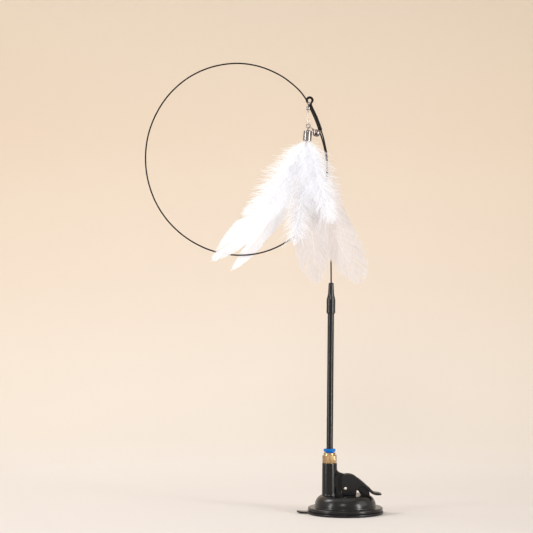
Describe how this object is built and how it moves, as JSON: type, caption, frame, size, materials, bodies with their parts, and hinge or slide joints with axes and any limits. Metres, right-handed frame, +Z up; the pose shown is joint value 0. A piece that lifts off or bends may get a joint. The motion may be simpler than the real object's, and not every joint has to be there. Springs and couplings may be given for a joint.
{
  "type": "suction cup feather wand",
  "caption": "Cat toy wand on a lever suction cup: upright rod in a push-in fitting, a looped spring wire, and a swivel with a bell and a bunch of white feathers.",
  "frame": {"origin": "middle of the bounding box's bottom face, on the plane that the suction pad's rim stands on", "axes": "+Z up along the rod; +X to the right in the picture, from the wire loop to the lever's tail; +Y away from the camera"},
  "size_m": [0.2203, 0.0702, 0.4166],
  "materials": {
    "black_plastic": "smooth moulded, slightly glossy",
    "pad_rubber": "satin",
    "white_plastic": "matt",
    "blue_plastic": "glossy",
    "steel": "satin",
    "brass": "satin, plated",
    "chrome": "polished",
    "rod_coat": "glossy black",
    "black_sleeve": "glossy",
    "wire_coat": "thin black coat",
    "glue": "waxy",
    "feather_white": "soft, matt"
  },
  "bodies": {
    "base": {"base_housing": "black_plastic", "suction_pad": "pad_rubber", "release_spring": "steel", "fitting_body": "brass", "retainer_sleeve": "white_plastic"},
    "plunger": {"pad_plunger": "black_plastic", "lever_pin": "steel"},
    "lever": {"cam_lever": "black_plastic"},
    "release_ring": {"release_ring": "blue_plastic"},
    "collet": {"collet_claw": "steel", "seal_ring": "pad_rubber"},
    "wand": {"wand_rod": "rod_coat", "wire_plug": "steel", "wire_root": "wire_coat", "wire_boot": "black_sleeve"},
    "upright": {"wire_upright": "wire_coat"},
    "loop": {"wire_loop": "wire_coat", "eye_sleeve": "black_sleeve"},
    "swivel": {"swivel_hook": "steel", "swivel_barrel": "steel"},
    "snap": {"snap_link": "steel"},
    "ring": {"split_ring": "steel"},
    "toy": {"feather_cap": "chrome", "feather_binding": "glue", "feather_back_left": "feather_white", "feather_centre": "feather_white", "feather_left": "feather_white", "feather_middle": "feather_white", "feather_right": "feather_white", "feather_short_left": "feather_white", "feather_short_right": "feather_white"},
    "bell": {"bell_link": "steel", "bell_shell": "chrome"},
    "bell_ball": {"bell_ball": "steel"}
  },
  "joints": [
    {"name": "plunger_lift", "type": "slide", "parent": "base", "child": "plunger", "axis": [0, 0, 1], "range_m": [-0.0016, 0], "deforming": ["suction_pad", "release_spring"]},
    {"name": "lever_throw", "type": "hinge", "parent": "plunger", "child": "lever", "pos_m": [0.07505, 0, 0.0235], "axis": [0, -1, 0], "range_deg": [0, 45]},
    {"name": "ring_press", "type": "slide", "parent": "base", "child": "release_ring", "axis": [0, 0, -1], "range_m": [0, 0.0008], "stiffness_N_per_m": 300, "springref_m": -0.0002},
    {"name": "wand_turn", "type": "hinge", "parent": "base", "child": "collet", "pos_m": [0.06055, 0, 0.0495], "axis": [0.0087, 0, 1], "continuous": true},
    {"name": "wand_pull", "type": "slide", "parent": "collet", "child": "wand", "axis": [0.0087, 0, 1], "range_m": [0, 0.02]},
    {"name": "wire_sway", "type": "hinge", "parent": "wand", "child": "upright", "pos_m": [0.06198, 0, 0.21359], "axis": [0, 1, 0], "range_deg": [-20, 20], "stiffness_Nm_per_rad": 0.25, "springref_deg": 0.98},
    {"name": "wire_nod", "type": "hinge", "parent": "upright", "child": "loop", "pos_m": [0.06109, 0, 0.26502], "axis": [1, 0, 0], "range_deg": [-15, 15], "stiffness_Nm_per_rad": 0.25, "springref_deg": -0.12},
    {"name": "toy_swing", "type": "hinge", "parent": "loop", "child": "swivel", "pos_m": [0.04194, -0.009, 0.38117], "axis": [0, 1, 0], "range_deg": [0, 60]},
    {"name": "barrel_spin", "type": "hinge", "parent": "swivel", "child": "snap", "pos_m": [0.04064, -0.009, 0.38017], "axis": [0, 0, 1], "continuous": true, "deforming": ["feather_back_left", "feather_centre", "feather_left", "feather_middle", "feather_right", "feather_short_left", "feather_short_right"]},
    {"name": "ring_roll", "type": "hinge", "parent": "snap", "child": "ring", "pos_m": [0.04064, -0.009, 0.35847], "axis": [0.7071, 0.7071, 0], "range_deg": [-20, 20]},
    {"name": "cap_swing", "type": "hinge", "parent": "ring", "child": "toy", "pos_m": [0.04064, -0.009, 0.35537], "axis": [0.866, -0.5, 0], "range_deg": [-25, 25]},
    {"name": "bell_swing", "type": "hinge", "parent": "ring", "child": "bell", "pos_m": [0.04235, -0.00999, 0.35675], "axis": [-0.3714, -0.9285, 0], "range_deg": [0, 25]},
    {"name": "ball_roll", "type": "hinge", "parent": "bell", "child": "bell_ball", "pos_m": [0.04814, -0.012, 0.35077], "axis": [0, 1, 0], "range_deg": [-45, 45]}
  ],
  "couplings": [
    {"joint": "plunger_lift", "follows": "lever_throw", "m_per_rad": -0.0020372}
  ]
}
